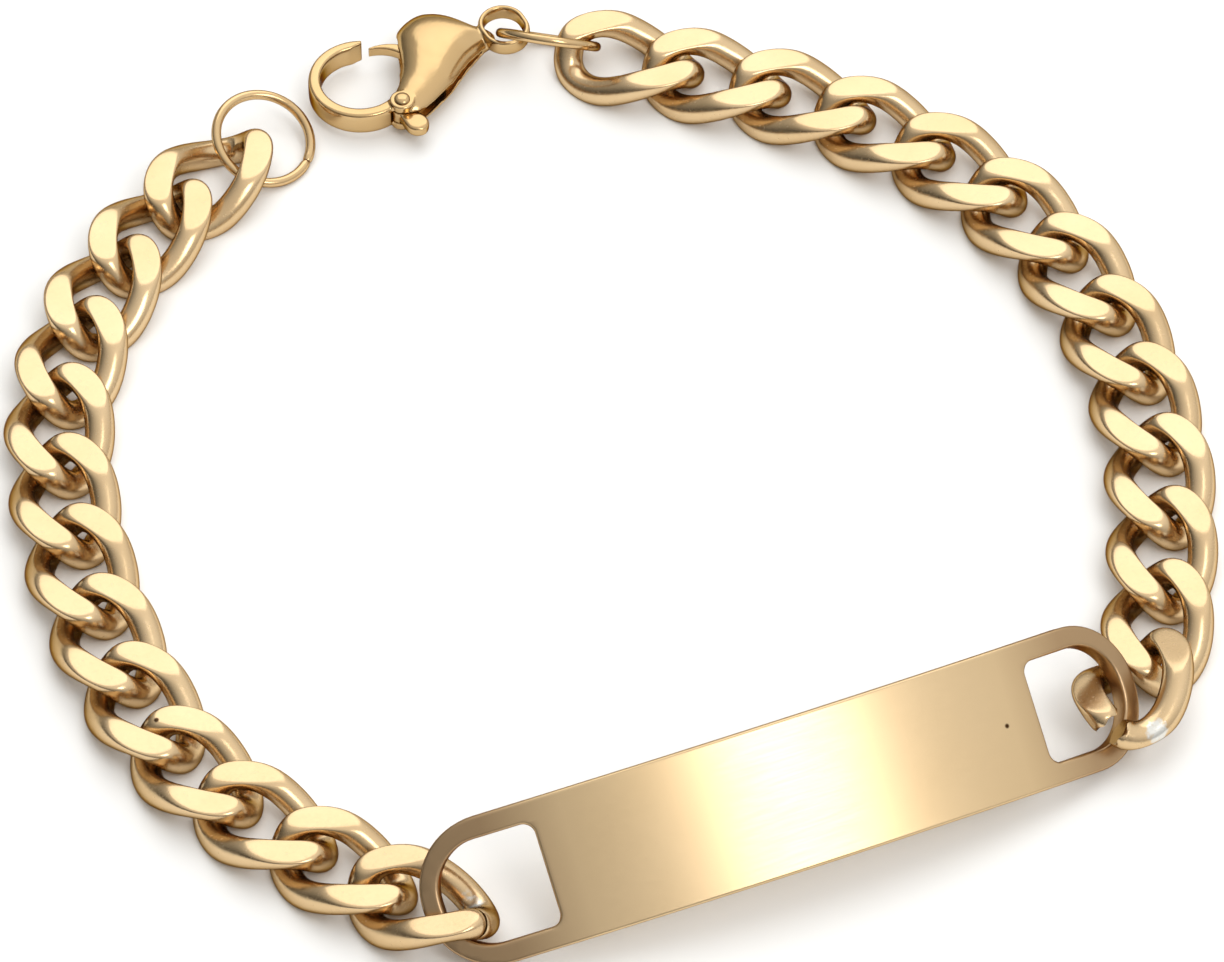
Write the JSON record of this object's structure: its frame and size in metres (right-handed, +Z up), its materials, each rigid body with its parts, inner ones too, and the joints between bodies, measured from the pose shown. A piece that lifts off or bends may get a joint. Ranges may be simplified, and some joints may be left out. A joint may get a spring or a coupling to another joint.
{
  "type": "chain bracelet",
  "caption": "Curb-chain identity bracelet with a blank arched plate and a lobster clasp, unfastened and lying in an open loop.",
  "frame": {"origin": "under the middle of the loop's box, on the surface that the bracelet lies on", "axes": "+Z up; +Y from the plate's side of the loop towards the clasp, the box's longest extent; +X to the right along the loop with the plate nearest the viewer"},
  "size_m": [0.08, 0.0817, 0.0104],
  "materials": {
    "plate": "satin gold plating",
    "chain": "polished gold plating",
    "rings": "polished gold plating",
    "clasp": "polished gold plating"
  },
  "bodies": {
    "bracelet": {"id_plate": "plate", "end_ring": "rings", "clasp_ring": "rings", "clasp_body": "clasp", "clasp_rivet": "clasp", "link_l01": "chain", "link_l02": "chain", "link_l03": "chain", "link_l04": "chain", "link_l05": "chain", "link_l06": "chain", "link_l07": "chain", "link_l08": "chain", "link_l09": "chain", "link_l10": "chain", "link_l11": "chain", "link_l12": "chain", "link_l13": "chain", "link_r01": "chain", "link_r02": "chain", "link_r03": "chain", "link_r04": "chain", "link_r05": "chain", "link_r06": "chain", "link_r07": "chain", "link_r08": "chain", "link_r09": "chain", "link_r10": "chain", "link_r11": "chain", "link_r12": "chain", "link_r13": "chain"},
    "lever": {"clasp_lever": "clasp"}
  },
  "joints": [
    {"name": "lever_hinge", "type": "hinge", "parent": "bracelet", "child": "lever", "pos_m": [-0.01409, 0.03188, 0.00165], "axis": [0, 0, 1], "range_deg": [0, 38], "stiffness_Nm_per_rad": 0.01, "springref_deg": -17.19}
  ]
}
